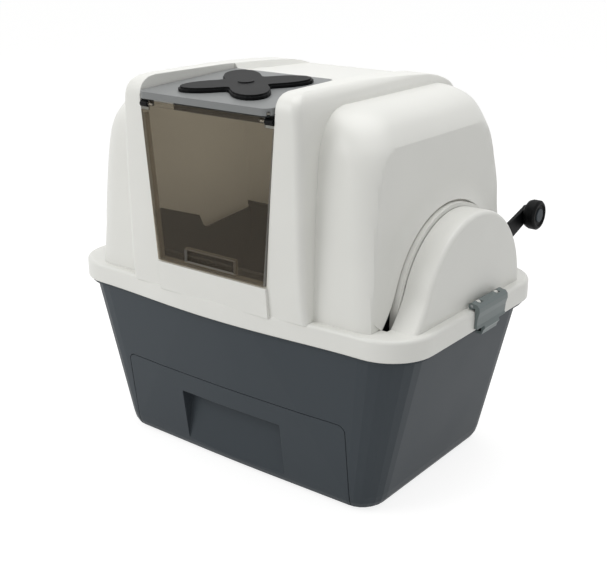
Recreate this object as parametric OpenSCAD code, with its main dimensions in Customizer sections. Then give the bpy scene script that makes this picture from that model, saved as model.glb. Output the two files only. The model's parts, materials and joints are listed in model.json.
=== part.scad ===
// Hooded litter box with a lever-turned sifting pan.
// X runs to the lever side, Y to the back, Z up. The origin lies on the floor under the middle of the tub.

/* [Tub] */
// Half width of the tub at its foot
tub_foot_x = 254; // [240:1:268]
// Half width of the tub just under its flange
tub_top_x = 315; // [306:1:318]
// Distance from the middle to the front of the tub foot
tub_foot_front = 174; // [170:1:178]
// Distance from the middle to the front of the tub under its flange
tub_top_front = 203; // [198:1:205]
// Distance from the middle to the back of the tub foot
tub_foot_back = 172; // [160:1:180]
// Distance from the middle to the back of the tub under its flange
tub_top_back = 190; // [184:1:192]
// Wall of the tub
tub_wall = 3; // [2:0.5:5]
// Height of the soft strips under the tub
foot_h = 4; // [2:0.5:6]
// Width of a soft strip
strip_w = 16; // [10:1:24]

/* [Rim] */
// Half width of the rim over the whole box
rim_x = 330; // [326:1:340]
// Distance from the middle to the rim's front corners
rim_front = 210; // [208:1:214]
// Extra reach of the rim at the middle of its bowed front
rim_bow = 13; // [6:1:16]
// Distance from the middle to the back of the rim
rim_back = 198; // [197:1:206]
// Corner radius of the rim
rim_r = 72; // [50:1:80]
// Height of the underside of the rim above the floor
rim_z = 268; // [262:1:274]
// Height of the rim itself
rim_h = 32; // [28:1:34]

/* [Hood] */
// Wall of the hood
hood_wall = 3; // [2:0.25:4]
// Highest point of the hood above the floor
hood_top = 615; // [612:1:630]
// Half width of the flat side of the hood
hood_side_x = 263; // [262:0.5:264]
// Half width of the middle frame that carries the door
frame_x = 168; // [162:1:176]
// Distance from the middle to the front of the door frame
frame_front = 231; // [230:1:234]
// Distance from the middle to the back of the hood
hood_back = 187; // [182:1:190]

/* [Door] */
// Height of the lower edge of the door
door_z = 343; // [338:1:350]
// Height of the door's pivots
door_pivot_z = 577; // [575:1:579]
// Half width of the door at its lower edge
door_foot_x = 103; // [98:1:106]
// Half width of the door at its upper edge
door_top_x = 125; // [120:1:127]
// Thickness of the smoked door
door_wall = 3; // [2:0.5:4]
// Gap round the door
door_gap = 1.5; // [1:0.25:2]
// Radius of a door pivot
door_pin_r = 2; // [1.5:0.25:2.5]

/* [Top panel] */
// Half width of the panel at its front
panel_front_x = 124; // [118:1:126]
// Half width of the panel at its back
panel_back_x = 111; // [106:1:114]
// Thickness of the panel
panel_wall = 4; // [3:0.5:5]
// Depth of the panel's skirt
panel_skirt = 6; // [4:0.5:7]
// Reach of a star arm from its middle
star_reach = 98; // [90:1:98.5]
// Thickness of the star
star_h = 7; // [5:0.5:9]

/* [Sifting pan] */
// Height of the pan's axle above the floor
axle_z = 300; // [298:1:302]
// Outer radius of the pan
pan_r = 138; // [130:1:140]
// Wall of the pan
pan_wall = 3; // [2:0.5:4]
// Half length of the pan
pan_x = 231; // [224:1:236]
// Radius of an axle
axle_r = 12; // [9:0.5:14]
// Running clearance of the axles in their bearings
axle_fit = 0.08; // [0.04:0.01:0.1]
// Radius of a hole in the sieve
hole_r = 4.5; // [3:0.5:5.5]
// Distance between neighbouring holes
hole_pitch = 21; // [18:1:26]

/* [Lever] */
// Distance from the axle to the knob
lever_reach = 252; // [235:1:260]
// Angle of the lever above the level at rest
lever_angle = 17.5; // [12:0.5:24]
// Thickness of the lever arm
lever_t = 6; // [4:0.5:6.5]
// Width of the lever arm at its root
lever_w = 36; // [28:1:40]
// Radius of the knob
knob_r = 24; // [18:1:27]
// Length of the knob
knob_len = 22; // [16:1:26]
// Outer radius of the side dome
dome_r = 137; // [135:1:139]
// Width of the curved slot between the dome and the hood
slot_w = 9; // [6:1:11]
// Half width from the middle of the box to the face of the dome
dome_x = 315; // [308:1:320]

/* [Waste drawer] */
// Half width of the drawer front
drawer_x = 219; // [210:1:224]
// Height of the top of the drawer front above the floor
drawer_z = 146; // [136:1:148]
// Depth of the drawer from the front face to its back wall
drawer_len = 170; // [150:1:176]
// Gap between the drawer front and the tub
drawer_gap = 1.2; // [0.8:0.1:2]
// Wall of the drawer
drawer_wall = 2.5; // [2:0.25:4]
// Half width of the hand recess
grip_x = 100; // [80:1:120]
// Depth of the hand recess at its top
grip_d = 24; // [16:1:28]

/* [Side clips] */
// Length of a side clip along the rim
clip_len = 86; // [70:1:96]
// Thickness of a side clip
clip_t = 4; // [3:0.5:5]
// Distance of the clips behind the middle of the box
clip_y = 16; // [8:1:24]
// Radius of a clip pin
clip_pin_r = 2.5; // [2:0.25:3]

/* [Hidden] */
$fn = 64;

// Colours as the photograph shows them
white_plastic = "#e6e6e2";
dark_plastic = "#4b5156";
panel_grey = "#b2b4b4";
clip_grey = "#6c7676";
black_plastic = "#232326";
steel = "#b8bcc0";
smoke = "#70665988";

slab = 0.02;
seat = 0.3;
corner_steps = 6;
rim_top = rim_z + rim_h;
flange_h = 6;
flange_inset = 6;
tub_corner_foot = 42;
tub_corner_top = 66;

// An outline with four round corners and a front that bows outwards, anticlockwise from the front right.
// The back corners may have a radius of their own.
function turn(cx, cy, r, a0) = [for (i = [0:corner_steps])
    [cx + r * cos(a0 + 90 * i / corner_steps), cy + r * sin(a0 + 90 * i / corner_steps)]];
function bowed(x, y, bow) = [for (i = [1:7]) let (t = -1 + i / 4) [t * x, -y - bow * pow(1 - t * t, 2)]];
function outline(x, front, back, r, bow, rb) = let (q = is_undef(rb) ? r : rb) concat(
    turn(x - r, r - front, r, -90), turn(x - q, back - q, q, 0),
    turn(q - x, back - q, q, 90), turn(r - x, r - front, r, 180),
    bow > 0 ? bowed(x - r, front, bow) : []);

// One ring of a loft, grown by g: [height, half width, front, back, corner radius, bow, back corner radius].
module ring(s, g) {
    translate([0, 0, s[0]])
        linear_extrude(slab)
            polygon(outline(s[1] + g, s[2] + g, s[3] + g, max(2, s[4] + g), s[5],
                is_undef(s[6]) ? undef : s[6] + g));
}
module loft(rings, g = 0) {
    for (i = [0:len(rings) - 2])
        hull() {
            ring(rings[i], g);
            ring(rings[i + 1], g);
        }
}

// Places things on the side: x stays, and the drawing plane's x and y become Y and Z.
module on_side(x) {
    translate([x, 0, 0])
        rotate([90, 0, 90])
            children();
}
module both_sides() {
    children();
    mirror([1, 0, 0])
        children();
}

/* Tub */
function tub_at(z) = let (t = (z - foot_h) / (rim_z - foot_h)) [z,
    tub_foot_x + (tub_top_x - tub_foot_x) * t,
    tub_foot_front + (tub_top_front - tub_foot_front) * t,
    tub_foot_back + (tub_top_back - tub_foot_back) * t,
    tub_corner_foot + (tub_corner_top - tub_corner_foot) * t, 3 + 8 * t];
function shrunk(s, d) = [s[0], s[1] - d, s[2] - d, s[3] - d, s[4] - d, s[5]];
tub_rings = [shrunk(tub_at(foot_h), 9), shrunk(tub_at(foot_h + 4), 4), shrunk(tub_at(foot_h + 12), 1),
    tub_at(foot_h + 24), tub_at(rim_z - slab)];
tub_cavity = concat([for (s = tub_rings) concat([s[0] + tub_wall], [for (i = [1:4]) s[i] - tub_wall], s[5])],
    [concat([rim_z + 40], [for (i = [1:4]) tub_at(rim_z)[i] - tub_wall], tub_at(rim_z)[5])]);
function front_y(z) = -(tub_at(z)[2] + tub_at(z)[5] * 0.85);
flange_ring = [rim_z, rim_x - flange_inset, rim_front - flange_inset, rim_back - flange_inset,
    rim_r - flange_inset, rim_bow];
lip_ring = [rim_z, rim_x - 12, rim_front - 12, rim_back - 8, rim_r - 10, rim_bow - 2];
lip_h = 14;
bay_slack = 0.6;
bay_x = drawer_x + drawer_gap + bay_slack;
bay_top = drawer_z + drawer_gap + bay_slack;
bay_back = front_y(drawer_z) + drawer_len + 6;
bay_wall = 3;
bay_floor = foot_h + tub_wall + 0.4;
pillar_x = 245;
pillar_t = 12;
pillar_y = 30;
saddle_h = 22;
strip_x = tub_foot_x - 60;
strip_y = tub_foot_back - 42;

module tub_outer(g = 0) {
    loft(tub_rings, g);
}
module prism(s, z0, z1) {
    translate([0, 0, z0])
        linear_extrude(z1 - z0)
            polygon(outline(s[1], s[2], s[3], s[4], s[5]));
}
// Opening for the drawer: through the wall above the bay's floor, and through the outer skin below it
module bay_hole() {
    difference() {
        through_front()
            drawer_outline(drawer_gap);
        loft(tub_rings, -tub_wall - 0.5);
    }
    through_front()
        intersection() {
            drawer_outline(drawer_gap);
            translate([-rim_x, bay_floor])
                square([2 * rim_x, drawer_z]);
        }
}
module through_front() {
    rotate([90, 0, 0])
        translate([0, 0, tub_foot_front / 2])
            linear_extrude(tub_top_front)
                children();
}
module drawer_outline(g) {
    translate([-drawer_x - g, foot_h - g])
        square([2 * (drawer_x + g), 40]);
    hull() {
        for (s = [-1, 1])
            translate([s * (drawer_x - 12), drawer_z - 12])
                circle(r = 12 + g, $fn = 32);
        translate([-drawer_x - g, foot_h + 20])
            square([2 * (drawer_x + g), 1]);
    }
}
module base_tub() {
    color(dark_plastic)
        difference() {
            union() {
                tub_outer();
                prism(flange_ring, rim_z - flange_h, rim_z);
                prism(lip_ring, rim_z - 1, rim_z + lip_h);
            }
            difference() {
                loft(tub_cavity);
                bay_shell();
                both_sides() pillar();
            }
            bay_hole();
        }
}
// Walls that part the drawer bay from the clean litter behind it
module bay_shell() {
    difference() {
        translate([-bay_x - bay_wall, front_y(foot_h) - 20, foot_h])
            cube([2 * (bay_x + bay_wall), bay_back + bay_wall - front_y(foot_h) + 20, bay_top + 3 - foot_h]);
        translate([-bay_x, front_y(foot_h) - 40, foot_h + tub_wall])
            cube([2 * bay_x, bay_back - front_y(foot_h) + 40, bay_top]);
    }
    difference() {
        translate([-bay_x - bay_wall, front_y(bay_top) - 20, bay_top])
            cube([2 * (bay_x + bay_wall), 30, 3]);
        translate([-bay_x + 12, front_y(bay_top) + 7, bay_top - 1])
            cube([2 * bay_x - 24, 30, 5]);
    }
}
module pillar() {
    translate([pillar_x, -pillar_y, foot_h + 2])
        cube([pillar_t, 2 * pillar_y, axle_z - saddle_h - foot_h - 2]);
    translate([pillar_x - 10, -3, foot_h + 2])
        cube([12, 6, axle_z - saddle_h - foot_h - 20]);
}
// Soft strips across the underside, one of them under the middle
module foot_strips() {
    color(black_plastic)
        for (y = [-strip_y, 0, strip_y])
            translate([-strip_x, y - strip_w / 2, 0])
                cube([2 * strip_x, strip_w, foot_h]);
}

/* Bearings and axles */
module bearing_half() {
    on_side(pillar_x)
        linear_extrude(pillar_t)
            difference() {
                union() {
                    translate([0, axle_z])
                        circle(r = axle_r + 8);
                    translate([-pillar_y, axle_z - saddle_h])
                        square([2 * pillar_y, 6]);
                    translate([-axle_r - 8, axle_z - saddle_h])
                        square([2 * (axle_r + 8), saddle_h]);
                }
                translate([0, axle_z])
                    circle(r = axle_r + axle_fit);
            }
}
module pan_bearing_right() {
    color(clip_grey) bearing_half();
}
module pan_bearing_left() {
    color(clip_grey) mirror([1, 0, 0]) bearing_half();
}
module bearing_screws() {
    color(steel)
        both_sides()
            for (s = [-1, 1])
                translate([pillar_x + pillar_t / 2, s * (pillar_y - 5), axle_z - saddle_h + 6])
                    cylinder(r = 4, h = 2.5);
}
crank_x = pillar_x + pillar_t + 3;
lever_x = dome_x - 48;
crank_web = 4;
crank_r = dome_r + slot_w - 3;
crank_rim = 7;
crank_hole_r = 16;
module pan_axle(len) {
    on_side(pan_x + seat)
        translate([0, axle_z])
            linear_extrude(2.5)
                circle(r = axle_r + 10);
    on_side(pan_x + seat)
        translate([0, axle_z])
            linear_extrude(len)
                circle(r = axle_r);
}
module pan_axle_right() {
    color(dark_plastic) pan_axle(lever_x - crank_web - seat - pan_x - seat);
}
module pan_axle_left() {
    color(dark_plastic) mirror([1, 0, 0]) pan_axle(pillar_x + pillar_t + 2 - pan_x);
}

/* Sifting pan */
pan_front_lip = 8;
pan_back_lip = 16;
sieve_low = -62;
module ring_2d(r, wall) {
    difference() {
        circle(r = r, $fn = 128);
        circle(r = r - wall, $fn = 128);
    }
}
// A sector between two angles above the front level, measured towards the top
module sector_2d(r, a0, a1) {
    steps = 12;
    polygon(concat([[0, 0]], [for (i = [0:steps]) let (a = a0 + (a1 - a0) * i / steps)
        [-r * cos(a), r * sin(a)]]));
}
module pan_end_2d() {
    intersection() {
        circle(r = pan_r + 6, $fn = 128);
        polygon([[-pan_r - 20, -pan_r - 20], [pan_r + 20, -pan_r - 20], [pan_r + 20, 28],
            [10, 14], [-2, 40], [-90, 72], [-pan_r - 20, 72]]);
    }
}
module sifting_pan() {
    color(dark_plastic) {
        difference() {
            on_side(-pan_x)
                translate([0, axle_z])
                    linear_extrude(2 * pan_x)
                        difference() {
                            ring_2d(pan_r, pan_wall);
                            sector_2d(2 * pan_r, pan_front_lip, 100);
                            sector_2d(2 * pan_r, 90, 180 - pan_back_lip);
                        }
            on_side(-pan_x + 14)
                translate([0, axle_z])
                    linear_extrude(2 * pan_x - 28)
                        sector_2d(2 * pan_r, sieve_low, pan_front_lip - 4);
        }
        both_sides()
            on_side(pan_x - pan_wall)
                translate([0, axle_z])
                    linear_extrude(pan_wall)
                        pan_end_2d();
    }
}
sieve_x = pan_x - pan_wall - seat;
sieve_rows = 5;
sieve_wall = 2.5;
module sieve_grid() {
    columns = floor((2 * pan_x - 60) / hole_pitch);
    row_step = (pan_front_lip - 10 - sieve_low) / sieve_rows;
    color(dark_plastic)
        difference() {
            union() {
                on_side(-sieve_x)
                    translate([0, axle_z])
                        linear_extrude(2 * sieve_x)
                            intersection() {
                                ring_2d(pan_r - pan_wall - seat, sieve_wall);
                                sector_2d(2 * pan_r, sieve_low - 6, pan_front_lip);
                            }
                on_side(-sieve_x)
                    translate([0, axle_z])
                        linear_extrude(2 * sieve_x)
                            intersection() {
                                ring_2d(pan_r - pan_wall - seat, 8);
                                sector_2d(2 * pan_r, pan_front_lip - 2, pan_front_lip);
                            }
            }
            for (row = [0:sieve_rows - 1], col = [0:columns])
                translate([(col - columns / 2) * hole_pitch + (row % 2) * hole_pitch / 2 - hole_pitch / 4,
                    0, axle_z])
                    rotate([90 - (sieve_low + 4 + (row + 0.5) * row_step), 0, 0])
                        translate([0, 0, pan_r - 20])
                            cylinder(r = hole_r, h = 40, $fn = 24);
        }
}
module sieve_screws() {
    color(steel)
        for (sx = [-1, 1], a = [sieve_low + 10, pan_front_lip - 14])
            translate([sx * (sieve_x - 8), 0, axle_z])
                rotate([90 - a, 0, 0])
                    translate([0, 0, pan_r - pan_wall - seat - sieve_wall - 2.1])
                        cylinder(r = 3.5, h = 2);
}

/* Crank, lever and knob */
module crank_disc() {
    color(white_plastic) {
        on_side(lever_x - crank_web)
            translate([0, axle_z])
                linear_extrude(crank_web - seat)
                    difference() {
                        circle(r = crank_r - 1, $fn = 128);
                        for (a = [0:60:300])
                            rotate(a + lever_angle + 30)
                                translate([crank_r * 0.55, 0])
                                    circle(r = crank_hole_r);
                    }
        on_side(crank_x)
            translate([0, axle_z])
                linear_extrude(lever_x + lever_t - crank_x)
                    difference() {
                        ring_2d(crank_r, crank_rim);
                        rotate(lever_angle)
                            translate([crank_r - 3 * crank_rim, -lever_w / 2 - 1])
                                square([6 * crank_rim, lever_w + 2]);
                    }
    }
}
function along_lever(r) = [r * cos(lever_angle), axle_z + r * sin(lever_angle)];
knob_y = along_lever(lever_reach)[0];
knob_z = along_lever(lever_reach)[1];
lever_tip_w = 26;
module lever_2d(g = 0) {
    translate([0, axle_z])
        rotate(lever_angle)
            polygon([[-20, -lever_w / 2], [60, -lever_w / 2], [lever_reach, 0.6 - lever_tip_w / 2],
                [lever_reach, lever_tip_w / 2 - 0.6], [60, lever_w / 2], [-20, lever_w / 2]]);
    translate(along_lever(lever_reach))
        circle(r = lever_tip_w / 2);
}
screw_at = [-8, 34, 72];
module lever_arm() {
    color(black_plastic)
        on_side(lever_x)
            linear_extrude(lever_t)
                difference() {
                    lever_2d();
                    translate(along_lever(lever_reach))
                        circle(r = 4);
                }
}
module lever_screws() {
    color(steel)
        for (r = screw_at)
            on_side(lever_x + lever_t)
                translate(along_lever(r))
                    linear_extrude(3)
                        circle(r = 5);
}
knob_x0 = lever_x + lever_t + 0.5;
module knob_axle() {
    color(steel) {
        on_side(lever_x - 2.5)
            translate([knob_y, knob_z])
                linear_extrude(2.5)
                    circle(r = 7);
        on_side(lever_x - 0.5)
            translate([knob_y, knob_z])
                linear_extrude(lever_t + knob_len - 3)
                    circle(r = 4);
        on_side(knob_x0 + knob_len - 6.2)
            translate([knob_y, knob_z])
                linear_extrude(2.5)
                    circle(r = 6.5);
    }
}
module lever_knob() {
    color(black_plastic)
        translate([knob_x0, knob_y, knob_z])
            rotate([0, 90, 0])
                rotate_extrude()
                    polygon([[4.08, 0], [knob_r - 6, 0], [knob_r - 2, 3], [knob_r, 8],
                        [knob_r, knob_len - 3], [knob_r - 2, knob_len - 0.8], [knob_r - 4, knob_len],
                        [knob_r - 6, knob_len], [knob_r - 7, knob_len - 2], [11.3, knob_len - 2],
                        [11.3, knob_len - 3], [7.5, knob_len - 3], [7.5, knob_len - 7], [4.08, knob_len - 7]]);
}
module knob_cap() {
    color(dark_plastic)
        translate([knob_x0 + knob_len - 3, knob_y, knob_z])
            rotate([0, 90, 0])
                rotate_extrude()
                    polygon([[0, 0], [11, 0], [11, 2.4], [10, 3], [0, 3]]);
}

/* Waste drawer */
drawer_face_t = 3;
grip_z0 = 14;
grip_z1 = 112;
bin_x = drawer_x - 4;
bin_top = drawer_z - 6;
bin_floor = bay_floor + seat;
bin_back = front_y(drawer_z) + drawer_len;
module grip_wedge(g = 0) {
    translate([-grip_x - g, 0, 0])
        rotate([90, 0, 90])
            linear_extrude(2 * (grip_x + g))
                polygon([[front_y(grip_z1) - 30, grip_z0 - g], [front_y(grip_z0) - 1 + g, grip_z0 - g],
                    [front_y(grip_z1) + grip_d + g, grip_z1 - 8], [front_y(grip_z1) + grip_d - 2 + g, grip_z1 + g],
                    [front_y(grip_z1) - 30, grip_z1 + g]]);
}
module waste_drawer() {
    color(dark_plastic)
        difference() {
            union() {
                intersection() {
                    difference() {
                        tub_outer();
                        tub_outer(-drawer_face_t);
                    }
                    through_front()
                        drawer_outline(0);
                }
                intersection() {
                    tub_outer(-1);
                    translate([-bin_x, front_y(0) - 40, bin_floor])
                        cube([2 * bin_x, bin_back - front_y(0) + 40, bin_top - bin_floor]);
                }
                intersection() {
                    tub_outer(-1);
                    grip_wedge(drawer_face_t);
                }
            }
            difference() {
                intersection() {
                    tub_outer(-drawer_face_t);
                    translate([-bin_x + drawer_wall, front_y(0) - 40, bin_floor + drawer_wall])
                        cube([2 * (bin_x - drawer_wall), bin_back - drawer_wall - front_y(0) + 40, bin_top]);
                }
                grip_wedge(drawer_face_t);
            }
            grip_wedge();
        }
}

/* Hood */
// Main body, from the rim to its crown
body_rings = [[rim_top - 4, 290, 199, hood_back, 52, 3, 60], [386, 281, 195, hood_back, 52, 2, 76],
    [462, 275, 191, hood_back, 53, 2, 88], [516, 268, 186, hood_back - 3, 54, 1, 98],
    [536, 262, 183, hood_back - 7, 56, 0, 98], [556, 250, 176, hood_back - 14, 58, 0, 90],
    [573, 234, 164, hood_back - 24, 56, 0, 76], [585, 209, 149, hood_back - 38, 50, 0, 60],
    [591, 180, 133, hood_back - 56, 42, 0, 44]];
// Frame round the door, running back over the top as two ridges
frame_rings = [[rim_top - 4, frame_x + 4, frame_front - 14, hood_back, 10, 0],
    [door_z, frame_x + 2, frame_front - 9, hood_back, 11, 0],
    [565, frame_x - 2, frame_front - 5, hood_back, 12, 0],
    [hood_top - 29, frame_x - 3.5, frame_front - 5, hood_back - 15, 13, 0],
    [hood_top - 17, frame_x - 6, frame_front - 7, hood_back - 41, 13, 0],
    [hood_top - 10, frame_x - 9, frame_front - 11, hood_back - 71, 12, 0],
    [hood_top - 5, frame_x - 13, frame_front - 17, hood_back - 133, 11, 0],
    [hood_top - 2, frame_x - 17, frame_front - 24, hood_back - 191, 10, 0],
    [hood_top, frame_x - 22, frame_front - 36, hood_back - 237, 8, 0]];
rim_rings = [[rim_z, rim_x, rim_front, rim_back, rim_r, rim_bow],
    [rim_top - 5, rim_x, rim_front, rim_back, rim_r, rim_bow],
    [rim_top - 1.5, rim_x - 1.5, rim_front - 1.5, rim_back - 1.5, rim_r - 1.5, rim_bow],
    [rim_top - slab, rim_x - 5, rim_front - 5, rim_back - 5, rim_r - 5, rim_bow]];
dome_wall_x = lever_x + lever_t + 1;
// The flat sides lean inwards towards the top by this angle
side_lean = 1.4;
fairing_w = 32;
fairing_h = 3.2;
fairing_root = 6;
bell_flare = 24;
bell_low = 0.35;

// Frame of the top panel: its origin is the middle of its back edge, at its upper face
panel_y = -34;
panel_z = hood_top - 8;
panel_tilt = 3.15;
panel_len = 202;
panel_gap = 2.2;
floor_drop = panel_wall + panel_skirt + seat;
module on_panel() {
    translate([0, panel_y, panel_z])
        rotate([panel_tilt, 0, 0])
            children();
}
module panel_2d(g, y0, y1) {
    slope = (panel_front_x - panel_back_x) / panel_len;
    polygon([[-panel_back_x - g + slope * y1, y1], [-panel_back_x - g + slope * y0, y0],
        [panel_back_x + g - slope * y0, y0], [panel_back_x + g - slope * y1, y1]]);
}
module saddle(g) {
    on_panel()
        translate([0, 0, -floor_drop - g])
            linear_extrude(60)
                panel_2d(2.5 + g, -panel_len - 40, panel_gap + g);
    hull() {
        translate([0, panel_y, hood_top - 11 - g])
            rotate([-2.5, 0, 0])
                translate([-panel_back_x + 6 - g, 0, 0])
                    cube([2 * (panel_back_x - 6 + g), 260, 1]);
        translate([0, panel_y, hood_top + 9 - g])
            rotate([-2.5, 0, 0])
                translate([-panel_back_x - 8 - g, 0, 0])
                    cube([2 * (panel_back_x + 8 + g), 260, 20]);
    }
}
function bell(r, k) = [for (i = [0:k]) let (a = 180 * i / k, s = sin(a), low = max(0, 1 - s / bell_low))
    [r * cos(a) - (cos(a) < 0 ? bell_flare * low * low : 0), r * s]];
module bell_2d(r, drop) {
    translate([0, axle_z])
        polygon(concat([[r, -drop]], bell(r, 48), [[-r - bell_flare, -drop]]));
}
// Outside of the hood, or its hollow where g is negative: that lies one wall lower too
module hood_skin(g) {
    translate([0, 0, g]) {
        intersection() {
            loft(body_rings, g);
            rotate([90, 0, 0])
                linear_extrude(2 * rim_x, center = true)
                    polygon([for (p = [[1, rim_z], [1, hood_top], [-1, hood_top], [-1, rim_z]])
                        [p[0] * (hood_side_x + g - (p[1] - axle_z) * tan(side_lean)), p[1]]]);
        }
        loft(frame_rings, g);
    }
}
module sill() {
    hull() {
        translate([-door_foot_x - 3, -rim_front - rim_bow * 0.9, rim_top - 6])
            cube([2 * door_foot_x + 6, 20, 1]);
        translate([-door_foot_x - 3, -frame_front + 5, door_z - door_gap - 1])
            cube([2 * door_foot_x + 6, 14, 1]);
    }
}
// Lip round the slot: it curls up from the leaning side as a parabola, steepest at the slot
module fairing() {
    r0 = dome_r + slot_w;
    intersection() {
        translate([hood_side_x - fairing_root, 0, axle_z])
            rotate([0, -side_lean, 0])
                rotate([90, 0, 90])
                    rotate_extrude($fn = 96)
                        polygon(concat([[20, 0], [r0 + fairing_w, 0]], [for (t = [1:-0.2:0])
                            [r0 + fairing_w * t, fairing_root + fairing_h * pow(1 - t, 2)]],
                            [[20, fairing_root + fairing_h]]));
        translate([hood_side_x - 20, -rim_x, rim_top - 2])
            cube([40, 2 * rim_x, dome_r + slot_w + 2 * fairing_w]);
    }
}
module door_hole() {
    rotate([90, 0, 0])
        translate([0, 0, 200 + 14])
            linear_extrude(60)
                polygon([[-door_foot_x - door_gap, door_z - door_gap], [door_foot_x + door_gap, door_z - door_gap],
                    [door_top_x + door_gap, door_pivot_z + 12], [-door_top_x - door_gap, door_pivot_z + 12]]);
}
tray_x = 84;
tray_y0 = -168;
tray_y1 = -38;
tray_flange = 6;
tray_h = 20;
tray_wall = 2;
tray_slot_pitch = 22;
tray_slot_w = 14;
filter_h = 12;
hinge_y = -3;
hinge_z = -3;
hinge_r = 3;
hinge_pin_r = 1.5;
knuckle_x = 58;
knuckle_w = 20;
hinge_lug_x = knuckle_x + knuckle_w + 0.6;
hinge_lug_w = 8;
clip_z = rim_top + 5.5;
clip_x = rim_x - 6;
clip_lug_y = 26;
clip_lug_t = 8;
hook_w = 44;
hook_reach = 40;
module hood_hinge_lug() {
    on_side(hinge_lug_x)
        linear_extrude(hinge_lug_w)
            difference() {
                union() {
                    translate([hinge_y, hinge_z])
                        circle(r = hinge_r);
                    translate([hinge_y - hinge_r, -floor_drop - 1])
                        square([2 * hinge_r, floor_drop + 1 + hinge_z]);
                }
                translate([hinge_y, hinge_z])
                    circle(r = hinge_pin_r + 0.05);
            }
}
module clip_rim_lug() {
    for (s = [-1, 1])
        translate([clip_x, clip_y + s * clip_lug_y + clip_lug_t / 2, 0])
            rotate([90, 0, 0])
                linear_extrude(clip_lug_t)
                    difference() {
                        union() {
                            translate([0, clip_z])
                                circle(r = 4.5);
                            translate([-4.5, rim_top - 1])
                                square([9, 6.5]);
                        }
                        translate([0, clip_z])
                            circle(r = clip_pin_r + 0.05);
                    }
}
module hood_shell() {
    color(white_plastic) {
        difference() {
            union() {
                difference() {
                    union() {
                        hood_skin(0);
                        fairing();
                        sill();
                        loft(rim_rings);
                    }
                    saddle(0);
                    on_side(pillar_x + 10)
                        linear_extrude(dome_wall_x - pillar_x - 10)
                            bell_2d(dome_r + slot_w, 2);
                }
                on_side(dome_wall_x)
                    linear_extrude(dome_x - dome_wall_x)
                        bell_2d(dome_r, 3);
            }
            difference() {
                hood_skin(-hood_wall);
                saddle(hood_wall);
            }
            prism([0, rim_x - hood_wall, rim_front - hood_wall, rim_back - hood_wall, rim_r - hood_wall,
                rim_bow], rim_z - 1, rim_top - hood_wall);
            on_side(pillar_x + 10)
                linear_extrude(dome_x - hood_wall - pillar_x - 10)
                    bell_2d(dome_r - hood_wall, 10);
            on_side(pillar_x + 10)
                linear_extrude(dome_wall_x - pillar_x - 10)
                    bell_2d(dome_r + slot_w, 12);
            door_hole();
            on_panel()
                translate([-tray_x - 0.5, tray_y0 - 0.5, -40])
                    cube([2 * tray_x + 1, tray_y1 - tray_y0 + 1, 60]);
        }
        on_panel()
            both_sides() hood_hinge_lug();
        both_sides() clip_rim_lug();
    }
}

/* Top panel, its filter and the star */
star_y = -panel_len / 2 - 1;
star_waist = 44;
vent_r0 = 20;
vent_r1 = 66;
module rounded_panel_2d() {
    r = 14;
    hull() {
        panel_2d(0, -panel_len + r, 0);
        for (s = [-1, 1])
            translate([s * (panel_front_x - r - 0.9), -panel_len + r])
                circle(r = r, $fn = 32);
    }
}
module top_panel() {
    color(panel_grey)
        on_panel() {
            difference() {
                union() {
                    translate([0, 0, -panel_wall])
                        linear_extrude(panel_wall)
                            rounded_panel_2d();
                    translate([0, 0, -panel_wall - panel_skirt])
                        linear_extrude(panel_skirt + 1)
                            difference() {
                                intersection() {
                                    rounded_panel_2d();
                                    translate([-200, -300])
                                        square([400, 300 + hinge_y - 1]);
                                }
                                offset(delta = -3)
                                    panel_2d(0, -panel_len, 20);
                            }
                    both_sides()
                        on_side(knuckle_x)
                            translate([hinge_y, hinge_z])
                                linear_extrude(knuckle_w)
                                    circle(r = hinge_r);
                }
                both_sides() {
                    on_side(knuckle_x - 1)
                        translate([hinge_y, hinge_z])
                            linear_extrude(knuckle_w + 2)
                                circle(r = hinge_pin_r + 0.03);
                    translate([hinge_lug_x - 0.5, hinge_y - hinge_r - 0.6, -2 * panel_wall])
                        cube([hinge_lug_w + 1, 4 * hinge_r, 3 * panel_wall]);
                }
                translate([0, star_y, -20])
                    cylinder(r = 5.08, h = 40);
                for (a = [0:90:270])
                    translate([0, star_y, -20])
                        rotate(a + star_turn)
                            linear_extrude(40)
                                vent_2d();
            }
        }
}
module vent_2d() {
    for (k = [-1:1])
        translate([vent_r0 + 2, k * 9 - 2])
            square([vent_r1 - vent_r0 - 14 * abs(k) - 4, 4]);
}
module panel_hinge_pins() {
    color(steel)
        on_panel()
            both_sides()
                on_side(knuckle_x + 2)
                    translate([hinge_y, hinge_z])
                        linear_extrude(knuckle_w - 2 + hinge_lug_w)
                            circle(r = hinge_pin_r);
}
module filter_tray() {
    w = tray_y1 - tray_y0;
    color(dark_plastic)
        on_panel()
            difference() {
                union() {
                    translate([-tray_x, tray_y0, -floor_drop - tray_h])
                        cube([2 * tray_x, w, tray_h + 0.5]);
                    translate([-tray_x - tray_flange, tray_y0 - tray_flange, -floor_drop + 0.1])
                        cube([2 * (tray_x + tray_flange), w + tray_flange + tray_slot_w, tray_wall]);
                }
                translate([-tray_x + tray_wall, tray_y0 + tray_wall, -floor_drop - tray_h + tray_wall])
                    cube([2 * (tray_x - tray_wall), w - 2 * tray_wall, 2 * tray_h]);
                for (i = [-3:3])
                    translate([i * tray_slot_pitch - tray_slot_w / 2, tray_y0 + 2 * tray_flange,
                        -floor_drop - tray_h - 1])
                        cube([tray_slot_w, w - 4 * tray_flange, 2 * tray_wall]);
            }
}
module carbon_filter() {
    edge = tray_wall + 1;
    color(black_plastic)
        on_panel()
            translate([-tray_x + edge, tray_y0 + edge, -floor_drop - tray_h + tray_wall + seat])
                cube([2 * (tray_x - edge), tray_y1 - tray_y0 - 2 * edge, filter_h]);
}
star_turn = 47;
function star_r(a) = star_waist + (star_reach - star_waist) * pow(abs(cos(2 * (a - star_turn))), 2);
module star_2d(g) {
    polygon([for (a = [0:5:355]) (star_r(a) + g) * [cos(a), sin(a)]]);
}
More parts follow.
